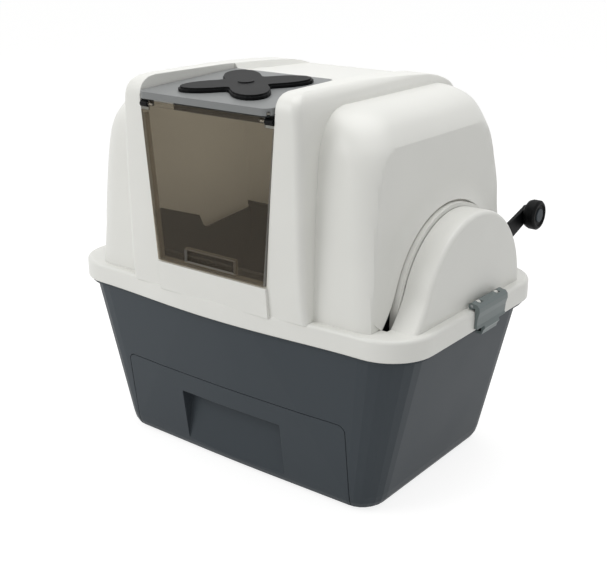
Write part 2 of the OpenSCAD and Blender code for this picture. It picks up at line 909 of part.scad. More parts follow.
module vent_star() {
    color(black_plastic)
        on_panel()
            translate([0, star_y, seat])
                difference() {
                    union() {
                        linear_extrude(star_h * 0.6)
                            star_2d(0);
                        linear_extrude(star_h)
                            star_2d(-3);
                        linear_extrude(star_h + 1.5)
                            circle(r = 12);
                    }
                    translate([0, 0, -1])
                        cylinder(r = 3, h = star_h);
                }
}
module star_pivot() {
    color(steel)
        on_panel()
            translate([0, star_y, 0]) {
                translate([0, 0, -panel_wall - 2.2])
                    cylinder(r = 9, h = 2);
                translate([0, 0, -panel_wall - 1])
                    cylinder(r = 5, h = panel_wall + 1);
                translate([0, 0, -1])
                    cylinder(r = 3, h = star_h - 1);
            }
}

/* Swing door */
door_y = -frame_front + 4;
door_pivot_y = door_y + 2.2;
door_top_z = door_pivot_z + 5;
flange_d = 12;
bead_r = door_pin_r + 1.2;
bead_x = 108.5;
notch_h = 8.5;
block_x = 110;
block_w = 14;
block_foot_w = 24;
block_r = door_pin_r + 2.5;
block_d = 10.8;
block_drop = 2;
pin_grip = 8;
tab_x = 48;
tab_z0 = door_z + 7;
tab_z1 = door_z + 26;
tab_d = 6;
tab_wall = 2;
function door_x(z) = door_foot_x + (door_top_x - door_foot_x) * (z - door_z) / (door_top_z - door_z);
module door_2d(g, z0, z1) {
    polygon([[-door_x(z0) - g, z0], [door_x(z0) + g, z0], [door_x(z1) + g, z1], [-door_x(z1) - g, z1]]);
}
// Extrudes a drawing in X and Z backwards from a given Y
module facing_front(y, t) {
    translate([0, y + t, 0])
        rotate([90, 0, 0])
            linear_extrude(t)
                children();
}
module swing_door() {
    color(smoke)
        difference() {
            union() {
                facing_front(door_y, door_wall)
                    difference() {
                        door_2d(0, door_z, door_top_z);
                        for (s = [-1, 1])
                            translate([s * (bead_x + door_top_x / 2) - door_top_x / 2, door_pivot_z - notch_h])
                                square([door_top_x, 2 * notch_h]);
                    }
                facing_front(door_y, flange_d)
                    difference() {
                        door_2d(0, door_z, door_pivot_z - flange_d - 2);
                        door_2d(-door_wall, door_z + door_wall, door_pivot_z);
                    }
                facing_front(door_y, tab_d + tab_wall)
                    translate([-tab_x - tab_wall, tab_z0 - tab_wall])
                        square([2 * (tab_x + tab_wall), tab_z1 - tab_z0 + 2 * tab_wall]);
                on_side(-bead_x)
                    translate([door_pivot_y, door_pivot_z])
                        linear_extrude(2 * bead_x)
                            circle(r = bead_r);
            }
            facing_front(door_y - 1, tab_d + 1)
                translate([-tab_x, tab_z0])
                    square([2 * tab_x, tab_z1 - tab_z0]);
            both_sides()
                on_side(bead_x - pin_grip)
                    translate([door_pivot_y, door_pivot_z])
                        linear_extrude(2 * pin_grip)
                            circle(r = door_pin_r);
        }
}
module door_pins() {
    color(steel)
        both_sides()
            on_side(bead_x - pin_grip)
                translate([door_pivot_y, door_pivot_z])
                    linear_extrude(pin_grip + block_x + block_w - 2 - bead_x)
                        circle(r = door_pin_r);
}
// Each block carries one door pin and seats behind the hood's front wall, beside the doorway
module door_pivot_blocks() {
    inner_y = -frame_front + 5 + hood_wall + seat;
    color(black_plastic)
        both_sides()
            difference() {
                union() {
                    on_side(block_x)
                        linear_extrude(block_w) {
                            translate([door_pivot_y, door_pivot_z])
                                circle(r = block_r);
                            translate([door_pivot_y, door_pivot_z - block_drop])
                                square([block_d, door_top_z - door_pivot_z + block_drop]);
                        }
                    on_side(block_x)
                        linear_extrude(block_foot_w)
                            translate([inner_y, door_pivot_z - block_drop])
                                square([door_pivot_y + block_d - inner_y, door_top_z - door_pivot_z + block_drop]);
                }
                on_side(block_x - 1)
                    translate([door_pivot_y, door_pivot_z])
                        linear_extrude(block_foot_w)
                            circle(r = door_pin_r + 0.08);
            }
}

/* Side clips */
module clip_2d() {
    hook_z = rim_z - flange_h - seat;
    polygon([[clip_x - 1, clip_z + 1], [rim_x - 1, clip_z - 2], [rim_x + 0.5, rim_top - 3], [rim_x + 0.5, hook_z],
        [rim_x - 8, hook_z], [rim_x - 8, hook_z - clip_t], [rim_x + clip_t - 2, hook_z - clip_t],
        [rim_x + clip_t, rim_z - 4], [rim_x + clip_t + 3, rim_z], [rim_x + clip_t, rim_z + 8],
        [rim_x + clip_t + 1, rim_top - 12], [rim_x + 7.5, clip_z - 8], [rim_x + 7, clip_z - 1],
        [rim_x + 3, clip_z + 3.5], [clip_x - 1, clip_z + 4.4]]);
}
// Extrudes a drawing in X and Z along Y, between two distances from the middle of a clip
module along_clip(y0, y1) {
    translate([0, clip_y + y1, 0])
        rotate([90, 0, 0])
            linear_extrude(y1 - y0)
                children();
}
module side_clip() {
    end = clip_len / 2;
    difference() {
        union() {
            along_clip(-end, end)
                clip_2d();
            along_clip(-end, end)
                translate([clip_x, clip_z])
                    circle(r = clip_pin_r + 2.5);
        }
        along_clip(-end - 1, end + 1)
            translate([clip_x, clip_z])
                circle(r = clip_pin_r);
        for (s = [-1, 1])
            along_clip(s * clip_lug_y - clip_lug_t / 2 - 0.5, s * clip_lug_y + clip_lug_t / 2 + 0.5)
                translate([clip_x - 10, rim_top - 1])
                    square([17, 20]);
        for (y = [-end - 1, hook_w / 2])
            along_clip(y, y + end + 1 - hook_w / 2)
                translate([rim_x - hook_reach / 2, rim_z - hook_reach + 4])
                    square(hook_reach);
    }
}
module side_clip_right() {
    color(clip_grey) side_clip();
}
module side_clip_left() {
    color(clip_grey) mirror([1, 0, 0]) side_clip();
}
module clip_pin() {
    translate([clip_x, clip_y, clip_z])
        rotate([90, 0, 0])
            cylinder(r = clip_pin_r, h = clip_len - 2, center = true);
}
module clip_pin_right() {
    color(steel) clip_pin();
}
module clip_pin_left() {
    color(steel) mirror([1, 0, 0]) clip_pin();
}

base_tub();
foot_strips();
pan_bearing_right();
pan_bearing_left();
bearing_screws();
waste_drawer();
sifting_pan();
sieve_grid();
sieve_screws();
pan_axle_right();
pan_axle_left();
crank_disc();
lever_arm();
lever_screws();
knob_axle();
lever_knob();
knob_cap();
hood_shell();
top_panel();
panel_hinge_pins();
filter_tray();
carbon_filter();
vent_star();
star_pivot();
swing_door();
door_pins();
door_pivot_blocks();
side_clip_right();
side_clip_left();
clip_pin_right();
clip_pin_left();
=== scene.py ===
import bmesh
import bpy
import json
import math
import numpy as np
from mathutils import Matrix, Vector


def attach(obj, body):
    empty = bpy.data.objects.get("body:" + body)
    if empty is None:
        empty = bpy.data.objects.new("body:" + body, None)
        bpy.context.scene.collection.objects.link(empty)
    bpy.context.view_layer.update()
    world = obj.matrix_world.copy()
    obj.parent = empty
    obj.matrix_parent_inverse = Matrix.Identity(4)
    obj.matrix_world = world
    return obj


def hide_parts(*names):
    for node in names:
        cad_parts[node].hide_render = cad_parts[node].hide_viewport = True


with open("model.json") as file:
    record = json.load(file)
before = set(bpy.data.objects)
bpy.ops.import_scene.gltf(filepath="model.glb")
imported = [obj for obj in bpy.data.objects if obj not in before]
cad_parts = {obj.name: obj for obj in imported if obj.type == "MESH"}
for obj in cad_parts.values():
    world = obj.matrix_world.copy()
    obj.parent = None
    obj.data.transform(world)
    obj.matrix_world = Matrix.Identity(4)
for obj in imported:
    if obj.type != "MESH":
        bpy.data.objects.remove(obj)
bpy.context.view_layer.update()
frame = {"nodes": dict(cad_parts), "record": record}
nodes = frame["nodes"]
mm = 0.001
print("stage: frame loaded")


# Moulded polypropylene is satin with a fine spark grain and a faint cloudiness; the grain is about 0.3 mm
# on the real one and drawn three times as coarse, so that it shows. Edges are rounded by bevel, in
# millimetres, in the shading alone.
finish = {
    "white_plastic": {"name": "satinWhitePolypropylene", "hex": "#e9e9e4", "rough": 0.38, "grain": 0.05,
                      "grainSize": 1.0, "bevel": 1.8},
    "dark_plastic": {"name": "satinSlatePolypropylene", "hex": "#42484d", "rough": 0.46, "grain": 0.05,
                     "grainSize": 0.9, "bevel": 1.6, "shine": 0.14},
    "panel_plastic": {"name": "satinGreyPolypropylene", "hex": "#828484", "rough": 0.42, "grain": 0.05,
                      "grainSize": 0.9, "bevel": 1.4, "shine": 0.3},
    "clip_plastic": {"name": "satinSagePolypropylene", "hex": "#6c7676", "rough": 0.42, "grain": 0.08,
                     "grainSize": 0.9, "bevel": 1.2},
    "bearing_plastic": {"name": "naturalAcetal", "hex": "#6c7676", "rough": 0.35, "grain": 0.04,
                        "grainSize": 0.9, "bevel": 0.6},
    "black_plastic": {"name": "satinBlackPolypropylene", "hex": "#0a0b0c", "rough": 0.50, "grain": 0.05,
                      "grainSize": 0.9, "bevel": 1.6, "shine": 0.11},
    "grip_rubber": {"name": "mattGripRubber", "hex": "#1d1d1e", "rough": 0.8, "grain": 0.3,
                    "grainSize": 1.4, "bevel": 0.8},
    "filter_felt": {"name": "needledCarbonFelt", "hex": "#1b1b1c", "rough": 0.95, "grain": 0.9,
                    "grainSize": 2.4, "bevel": 0.8},
    "steel": {"name": "platedSteel", "hex": "#b9bdc1", "rough": 0.28, "grain": 0.04,
              "grainSize": 0.7, "bevel": 0.3, "metal": 1.0}}
# Shared by all of them: shine is the strength of the gloss, and the depths and sizes are those of the grain,
# in metres, and of the cloudiness, in millimetres
plastic = {"ior": 1.49, "shine": 0.5, "cloudSize": 110.0, "cloudDetail": 2.0, "cloudDepth": 0.93,
           "grainDetail": 3.0, "grainDepth": 0.0004, "bevelSamples": 6, "glossDown": 0.04, "glossUp": 0.05}
# Sockets of a colour mix: its two colours and its result
colourA, colourB, colourOut = 6, 7, 2


# An sRGB hex colour as linear red, green, blue and 1: each channel is divided by 12.92 where it is dark, and
# otherwise raised to the power 2.4 after an offset of 0.055, as the sRGB standard says.
def linear(hexText):
    parts = [int(hexText[i:i + 2], 16) / 255 for i in (1, 3, 5)]
    return tuple(c / 12.92 if c <= 0.04045 else ((c + 0.055) / 1.055) ** 2.4 for c in parts) + (1.0,)


# Adds a shader node, sets its inputs by name, and links (input name, output socket) pairs.
def addNode(tree, kind, links=(), **inputs):
    node = tree.nodes.new(kind)
    for name, value in inputs.items():
        node.inputs[name.replace("_", " ")].default_value = value
    for name, socket in links:
        tree.links.new(socket, node.inputs[name])
    return node


# Moulded plastic or metal: fine grain, faint cloudiness in tone and gloss, edges rounded in the shading.
def mouldedPlastic(spec):
    material = bpy.data.materials.new(spec["name"])
    material.use_nodes = True
    tree = material.node_tree
    tree.nodes.clear()
    place = addNode(tree, "ShaderNodeTexCoord").outputs["Object"]
    grain = addNode(tree, "ShaderNodeTexNoise", [("Vector", place)], Scale=1 / (spec["grainSize"] * mm),
                    Detail=plastic["grainDetail"])
    cloud = addNode(tree, "ShaderNodeTexNoise", [("Vector", place)], Scale=1 / (plastic["cloudSize"] * mm),
                    Detail=plastic["cloudDetail"])
    soft = addNode(tree, "ShaderNodeBevel", Radius=spec["bevel"] * mm)
    soft.samples = plastic["bevelSamples"]
    bump = addNode(tree, "ShaderNodeBump", [("Height", grain.outputs["Fac"]),
                   ("Normal", soft.outputs["Normal"])], Strength=spec["grain"], Distance=plastic["grainDepth"])
    base = linear(spec["hex"])
    deep = tuple(c * plastic["cloudDepth"] for c in base[:3]) + (1.0,)
    tone = addNode(tree, "ShaderNodeMix", [("Factor", cloud.outputs["Fac"])])
    tone.data_type = "RGBA"
    tone.inputs[colourA].default_value = deep
    tone.inputs[colourB].default_value = base
    gloss = addNode(tree, "ShaderNodeMapRange", [("Value", cloud.outputs["Fac"])],
                    To_Min=spec["rough"] - plastic["glossDown"], To_Max=spec["rough"] + plastic["glossUp"])
    metal = spec.get("metal", 0.0)
    surface = addNode(tree, "ShaderNodeBsdfPrincipled", [("Base Color", tone.outputs[colourOut]),
                      ("Roughness", gloss.outputs["Result"]), ("Normal", bump.outputs["Normal"])],
                      Metallic=metal)
    if not metal:
        surface.inputs["IOR"].default_value = plastic["ior"]
        surface.inputs["Specular IOR Level"].default_value = spec.get("shine", plastic["shine"])
    addNode(tree, "ShaderNodeOutputMaterial", [("Surface", surface.outputs["BSDF"])])
    return material


# The door's tints (clear for what passes through, body for its own colour, and edge, a paler tint painted on
# edges and flanges as a highlight for the light they gather), the share of the sheet's colour on faces seen from
# the front and on edges, and its haze.
# A face counts as an edge where it looks forwards by less than edgeFacing, and fully as a face beyond
# faceFacing.
door = {"clear": "#ebe5db", "body": "#7d7468", "edge": "#a8a8a6", "share": 0.10, "shareEdge": 0.50,
        "haze": 0.04, "hazeSize": 70.0, "hazeDetail": 2.0, "rough": 0.10, "ior": 1.45,
        "edgeFacing": 0.3, "faceFacing": 0.9}


# Clear smoked polystyrene: most light goes straight through its faces, less through its edges and flanges,
# which look paler because they gather the light; shadows of it are fainter still.
def smokedPlastic():
    material = bpy.data.materials.new("smokedPolystyrene")
    material.use_nodes = True
    tree = material.node_tree
    tree.nodes.clear()
    coords = addNode(tree, "ShaderNodeTexCoord")
    haze = addNode(tree, "ShaderNodeTexNoise", [("Vector", coords.outputs["Object"])],
                   Scale=1 / (door["hazeSize"] * mm), Detail=door["hazeDetail"])
    ahead = addNode(tree, "ShaderNodeSeparateXYZ", [("Vector", coords.outputs["Normal"])])
    facing = addNode(tree, "ShaderNodeMath", [("Value", ahead.outputs["Y"])])
    facing.operation = "ABSOLUTE"
    share = addNode(tree, "ShaderNodeMapRange", [("Value", facing.outputs[0])], From_Min=door["edgeFacing"],
                    From_Max=door["faceFacing"], To_Min=door["shareEdge"], To_Max=door["share"])
    uneven = addNode(tree, "ShaderNodeMath", [("Value", haze.outputs["Fac"])])
    uneven.operation = "MULTIPLY_ADD"
    uneven.inputs[1].default_value = door["haze"]
    tree.links.new(share.outputs["Result"], uneven.inputs[2])
    ray = addNode(tree, "ShaderNodeLightPath")
    lit = addNode(tree, "ShaderNodeMath", [("Value", ray.outputs["Is Shadow Ray"])])
    lit.operation = "MULTIPLY_ADD"
    lit.inputs[1].default_value = -door["share"]
    tree.links.new(uneven.outputs[0], lit.inputs[2])
    tone = addNode(tree, "ShaderNodeMapRange", [("Value", facing.outputs[0])], From_Min=door["edgeFacing"],
                   From_Max=door["faceFacing"])
    colour = addNode(tree, "ShaderNodeMix", [("Factor", tone.outputs["Result"])])
    colour.data_type = "RGBA"
    # Edges and flanges take the paler edge tint: a painted highlight for the light they gather, blended into the
    # body colour on faces seen from the front
    colour.inputs[colourA].default_value = linear(door["edge"])
    colour.inputs[colourB].default_value = linear(door["body"])
    through = addNode(tree, "ShaderNodeBsdfTransparent", Color=linear(door["clear"]))
    sheet = addNode(tree, "ShaderNodeBsdfPrincipled", [("Base Color", colour.outputs[colourOut])],
                    Roughness=door["rough"], IOR=door["ior"])
    both = addNode(tree, "ShaderNodeMixShader", [("Fac", lit.outputs[0])])
    tree.links.new(through.outputs["BSDF"], both.inputs[1])
    tree.links.new(sheet.outputs["BSDF"], both.inputs[2])
    addNode(tree, "ShaderNodeOutputMaterial", [("Surface", both.outputs["Shader"])])
    return material


materials = {slot: mouldedPlastic(spec) for slot, spec in finish.items()}
materials["smoked_plastic"] = smokedPlastic()


# Shades smooth, but keeps an edge sharp where its faces meet at more than the angle.
def smooth(obj, angle):
    mesh = obj.data
    mesh.polygons.foreach_set("use_smooth", [True] * len(mesh.polygons))
    mesh.set_sharp_from_angle(angle=math.radians(angle))


# A mesh object at the origin from vertices in millimetres.
def meshObject(name, verts, faces):
    mesh = bpy.data.meshes.new(name)
    mesh.from_pydata((np.asarray(verts, float) * mm).tolist(), [], faces)
    solid = bmesh.new()
    solid.from_mesh(mesh)
    bmesh.ops.recalc_face_normals(solid, faces=solid.faces)
    solid.to_mesh(mesh)
    solid.free()
    obj = bpy.data.objects.new(name, mesh)
    bpy.context.scene.collection.objects.link(obj)
    return obj


# Sizes of the hood in millimetres, as in the CAD; layers, steps and turns say how finely a curve is drawn. The
# sill's foot and head give the height over the rim and over the doorway's foot, and the front and back.
hood = {"wall": 3.0, "top": 615.0, "side": 263.0, "back": 187.0, "frameX": 168.0, "front": 231.0, "lean": 1.4,
        "layers": 60, "leastR": 1.5, "bowEnd": 0.9, "bowSteps": 19, "cutPast": 1.0,
        "rimTop": 300.0, "rimZ": 268.0, "rimX": 330.0, "rimFront": 210.0, "rimBack": 198.0, "rimR": 72.0,
        "bow": 13.0, "rimRound": 6.0, "rimChamfer": 1.2, "rimSteps": 9,
        "doorZ": 343.0, "doorFootX": 103.0, "doorTopX": 125.0, "pivotZ": 577.0, "gap": 1.5,
        "doorwayAbove": 12.0, "doorwayY": (-214.0, -274.0), "sillPast": 3.0, "sillFoot": (-6.0, -221.7, -201.7),
        "sillHead": (-2.5, -226.0, -212.0),
        "panelY": -34.0, "panelZ": 607.0, "tilt": 3.15, "panelBackX": 111.0, "panelFrontX": 124.0,
        "panelLen": 202.0, "trayX": 84.5, "trayY": (-168.5, -37.5), "trayZ": (-40.0, 20.0)}
# Seat of the top panel, and the valley behind it as (sideways, up, 1 where the wall's thickness counts)
seat = {"front": 40.0, "clearBack": 2.2, "clearSide": 2.5, "depth": 10.3, "above": 50.0, "valleyTilt": -2.5,
        "valleyLength": 260.0, "valley": ((-6.0, -11.0, 1), (8.0, 9.0, 1), (8.0, 30.0, 0))}
# Dome over the crank, its slot and the lip round it, which stands higher than in the CAD but clears the lever;
# the foot lengths say how far each arch runs down past the axle
dome = {"axleZ": 300.0, "radius": 137.0, "slot": 9.0, "face": 315.0, "wallX": 274.0, "flare": 24.0, "low": 0.35,
        "edge": 7.0, "edgeSteps": 8, "innerX": 255.0, "slotFoot": 2.0, "solidFoot": 9.0, "hollowFoot": 10.0,
        "throughFoot": 12.0, "throughPast": 0.5, "throughShort": 0.01, "archSteps": 72,
        "lipTop": 266.2, "lipWidth": 32.0, "lipRoot": 6.0, "lipFrontY": -186.0, "lipSink": 2.0, "lipSteps": 15}
# Lugs of the panel's hinge, in the panel's own frame, and of the side clips
lugs = {"hingeX": 78.6, "hingeW": 8.0, "hingeY": -3.0, "hingeZ": -3.0, "hingeR": 3.0, "hingeBore": 1.55,
        "hingeFoot": -11.3, "clipX": 324.0, "clipY": 16.0, "clipApart": 26.0, "clipW": 8.0, "clipZ": 305.5,
        "clipR": 4.5, "clipBore": 2.55, "sink": 1.0, "arcSteps": 17, "boreTurn": 15}


# Turns of a quarter circle in equal steps, without its start.
def quarterTurns(steps):
    return np.radians(90 * np.arange(1, steps + 1) / steps)


# A quarter circle of radius r round (cx, cy), in equal steps from the angle start, in degrees.
def turn(cx, cy, r, start, steps=12):
    a = np.radians(start + 90 * np.arange(steps + 1) / steps)
    return np.stack([cx + r * np.cos(a), cy + r * np.sin(a)], 1)


# Rounded rectangle whose front bows out by bow times (1 - t squared) squared, t running from -1 to 1.
def outline(x, front, back, r, bow, backR):
    t = np.linspace(-hood["bowEnd"], hood["bowEnd"], hood["bowSteps"])
    bowed = np.stack([t * (x - r), -front - bow * (1 - t * t) ** 2], 1)
    return np.concatenate([turn(x - r, r - front, r, -90), turn(x - backR, back - backR, backR, 0),
                           turn(backR - x, back - backR, backR, 90), turn(r - x, r - front, r, 180), bowed])


# The rings made finer by a monotone cubic along their profile: the slope at each ring is the weighted harmonic
# mean of the slopes beside it, or nothing where they change sign, and t is the length run along the profile.
def eased(rings, count):
    rows = np.array(rings, float)
    t = np.concatenate([[0], np.cumsum(np.hypot(np.diff(rows[:, 0]), np.diff(rows[:, 1])))])
    h = np.diff(t)
    d = np.diff(rows, axis=0) / h[:, None]
    m = np.zeros_like(rows)
    m[0], m[-1] = d[0], d[-1]
    same = d[:-1] * d[1:] > 0
    w1, w2 = (2 * h[1:] + h[:-1])[:, None], (h[1:] + 2 * h[:-1])[:, None]
    with np.errstate(divide="ignore", invalid="ignore"):
        mean = (w1 + w2) / (w1 / d[:-1] + w2 / d[1:])
    m[1:-1] = np.where(same, mean, 0)
    at = np.linspace(0, t[-1], count)
    i = np.clip(np.searchsorted(t, at, "right") - 1, 0, len(h) - 1)
    s = ((at - t[i]) / h[i])[:, None]
    hi = h[i][:, None]
    return ((1 + 2 * s) * (1 - s) ** 2 * rows[i] + s * (1 - s) ** 2 * hi * m[i]
            + s * s * (3 - 2 * s) * rows[i + 1] + s * s * (s - 1) * hi * m[i + 1])


# A closed solid through rings of (height, half width, front, back, corner radius, bow, back corner radius).
# With side given, it is cut off by two planes there that lean inwards with height.
def loft(name, rings, grow=0.0, side=None):
    layers = []
    for z, x, front, back, r, bow, *backR in rings:
        rear = backR[0] if backR else r
        corners = [max(hood["leastR"], radius + grow) for radius in (r, rear)]
        flat = outline(x + grow, front + grow, back + grow, corners[0], bow, corners[1])
        if side:
            limit = side + grow - (z - dome["axleZ"]) * math.tan(math.radians(hood["lean"]))
            flat[:, 0] = np.clip(flat[:, 0], -limit, limit)
        layers.append(np.column_stack([flat, np.full(len(flat), z + (grow if side else 0))]))
    return stack(name, layers)


# A closed solid through equal rings of points: each point joins the same point of the next ring, and the first
# and last rings are closed.
def stack(name, layers):
    n, k = len(layers[0]), len(layers)
    faces = [[i * n + j, i * n + (j + 1) % n, (i + 1) * n + (j + 1) % n, (i + 1) * n + j]
             for i in range(k - 1) for j in range(n)]
    faces += [list(range(n))[::-1], [(k - 1) * n + j for j in range(n)]]
    return meshObject(name, np.concatenate(layers), faces)


# A drawing in Y and Z, run along X through (x, inset) pairs; an inset moves each point inwards, at right angles
# to the line between its two neighbours.
def across(name, flat, spans):
    flat = np.asarray(flat, float)
    ahead, behind = np.roll(flat, -1, 0), np.roll(flat, 1, 0)
    along = ahead - behind
    normal = np.stack([-along[:, 1], along[:, 0]], 1) / np.linalg.norm(along, axis=1)[:, None]
    return stack(name, [np.column_stack([np.full(len(flat), x), flat + normal * inset])
                        for x, inset in spans])


# Joins or cuts the target with the tool, which is then gone.
def combine(target, tool, how):
    step = target.modifiers.new(how, "BOOLEAN")
    step.operation = how
    step.object = tool
    step.solver = "MANIFOLD"
    mesh = bpy.data.meshes.new_from_object(target.evaluated_get(bpy.context.evaluated_depsgraph_get()))
    target.modifiers.clear()
    target.data = mesh
    bpy.data.objects.remove(tool)


# Main body of the hood, from the rim to its crown; each ring is height, half width, front, back, corner
# radius, bow and back corner radius.
def bodyRings():
    b = hood["back"]
    return eased([[296, 290, 199, b, 52, 3, 60], [386, 281, 195, b, 52, 2, 76], [462, 275, 191, b, 53, 2, 88],
                  [516, 268, 186, b - 3, 54, 1, 98], [536, 262, 183, b - 7, 56, 0, 98],
                  [556, 250, 176, b - 14, 58, 0, 90], [573, 234, 164, b - 24, 56, 0, 76],
                  [585, 209, 149, b - 38, 50, 0, 60], [591, 180, 133, b - 56, 42, 0, 44]], hood["layers"])


# Frame round the door, which runs back over the top as two ridges; its rings have one corner radius.
def frameRings():
    x, f, b, top = hood["frameX"], hood["front"], hood["back"], hood["top"]
    return eased([[296, x + 4, f - 14, b, 10, 0], [343, x + 2, f - 9, b, 11, 0],
                  [565, x - 2, f - 5, b, 12, 0],
                  [top - 29, x - 3.5, f - 5, b - 15, 13, 0], [top - 17, x - 6, f - 7, b - 41, 13, 0],
                  [top - 10, x - 9, f - 11, b - 71, 12, 0], [top - 5, x - 13, f - 17, b - 133, 11, 0],
                  [top - 2, x - 17, f - 24, b - 191, 10, 0], [top, x - 22, f - 36, b - 237, 8, 0]],
                 hood["layers"])


# Points of the top panel's own frame, turned by the tilt about X and moved to the panel's hinge.
def onPanel(points):
    a = math.radians(hood["tilt"])
    x, y, z = np.asarray(points, float).T
    return np.stack([x, hood["panelY"] + y * math.cos(a) - z * math.sin(a),
                     hood["panelZ"] + y * math.sin(a) + z * math.cos(a)], 1)


# The tray in the top that takes the panel, which widens forwards by the panel's slope, and the shallow valley
# behind it, as two solids; grow makes both larger by a wall.
def saddle(name, grow):
    slope = (hood["panelFrontX"] - hood["panelBackX"]) / hood["panelLen"]
    y0, y1 = -hood["panelLen"] - seat["front"], seat["clearBack"] + grow
    x0, x1 = [hood["panelBackX"] + seat["clearSide"] + grow - slope * y for y in (y0, y1)]
    flat = [(-x1, y1), (-x0, y0), (x0, y0), (x1, y1)]
    seatSolid = stack(name, [onPanel([(x, y, z) for x, y in flat])
                             for z in (-seat["depth"] - grow, seat["above"])])
    a, length = math.radians(seat["valleyTilt"]), seat["valleyLength"]
    valley = []
    for sideways, up, thick in seat["valley"]:
        half, z = hood["panelBackX"] + sideways + grow, hood["top"] + up - thick * grow
        valley.append(np.array([(sx * half, hood["panelY"] + y * math.cos(a), z + y * math.sin(a))
                                for sx, y in ((-1, 0), (1, 0), (1, length), (-1, length))]))
    return seatSolid, stack(name + "Valley", valley)


# Arch of radius r round the axle, closed below by drop. Its front foot flares out: by the flare times the square
# of one minus the angle's sine over low, where that is above nothing.
def bell(r, drop):
    count = dome["archSteps"]
    a = np.radians(180 * np.arange(count + 1) / count)
    low = np.maximum(0, 1 - np.sin(a) / dome["low"])
    y = r * np.cos(a) - np.where(np.cos(a) < 0, dome["flare"] * low * low, 0)
    arch = np.stack([y, dome["axleZ"] + r * np.sin(a)], 1)
    foot = np.array([[-r - dome["flare"], dome["axleZ"] - drop], [r, dome["axleZ"] - drop]])
    return np.concatenate([arch, foot])


# Lip round the slot: the slot's outline moved outwards by the lip's width times one minus the square root of
# the rise, which runs from 0 at the leaning side to 1 at the lip's top, just short of the lever.
def fairing():
    rise = np.linspace(0, 1, dome["lipSteps"])
    spans = [(-1, -dome["lipWidth"])] + [(t, -dome["lipWidth"] * (1 - math.sqrt(t))) for t in rise]
    solid = across("fairing", bell(dome["radius"] + dome["slot"], dome["slotFoot"]), spans)
    points = np.empty(len(solid.data.vertices) * 3)
    solid.data.vertices.foreach_get("co", points)
    points = points.reshape(-1, 3) / mm
    side = hood["side"] - (points[:, 2] - dome["axleZ"]) * math.tan(math.radians(hood["lean"]))
    height = np.where(points[:, 0] < 0, dome["lipRoot"], dome["lipTop"] - side)
    points[:, 0] = side + points[:, 0] * height
    points[:, 1] = np.maximum(points[:, 1], dome["lipFrontY"])
    points[:, 2] = np.maximum(points[:, 2], hood["rimTop"] - dome["lipSink"])
    solid.data.vertices.foreach_set("co", points.ravel() * mm)
    return solid


# A lug's outline: a foot that runs up into a half circle.
def lugOutline(u, v, r, foot):
    a = np.radians(np.linspace(0, 180, lugs["arcSteps"]))
    arc = np.stack([u + r * np.cos(a), v + r * np.sin(a)], 1)
    return np.concatenate([[[u + r, foot]], arc, [[u - r, foot]]])


# The circle of a lug's bore.
def boreOutline(u, v, r):
    a = np.radians(np.arange(0, 360, lugs["boreTurn"]))
    return np.stack([u + r * np.cos(a), v + r * np.sin(a)], 1)


# The hood's lugs for the panel's hinge and for the two side clips.
def addLugs(body):
    hinge = lugOutline(lugs["hingeY"], lugs["hingeZ"], lugs["hingeR"], lugs["hingeFoot"])
    hole = boreOutline(lugs["hingeY"], lugs["hingeZ"], lugs["hingeBore"])
    for sx in (-1, 1):
        for flat, grow, how in ((hinge, 0, "UNION"), (hole, hood["cutPast"], "DIFFERENCE")):
            ends = (lugs["hingeX"] - grow, lugs["hingeX"] + lugs["hingeW"] + grow)
            combine(body, stack("hingeLug", [onPanel(np.column_stack([np.full(len(flat), sx * x), flat]))
                                             for x in ends]), how)
        clip = lugOutline(lugs["clipX"], lugs["clipZ"], lugs["clipR"], hood["rimTop"] - lugs["sink"])
        bore = boreOutline(lugs["clipX"], lugs["clipZ"], lugs["clipBore"])
        for side in (-1, 1):
            y = lugs["clipY"] + side * lugs["clipApart"]
            for flat, half, how in ((clip, lugs["clipW"] / 2, "UNION"), (bore, lugs["clipW"], "DIFFERENCE")):
                ends = [np.column_stack([sx * flat[:, 0], np.full(len(flat), at), flat[:, 1]])
                        for at in (y - half, y + half)]
                combine(body, stack("clipLug", ends), how)


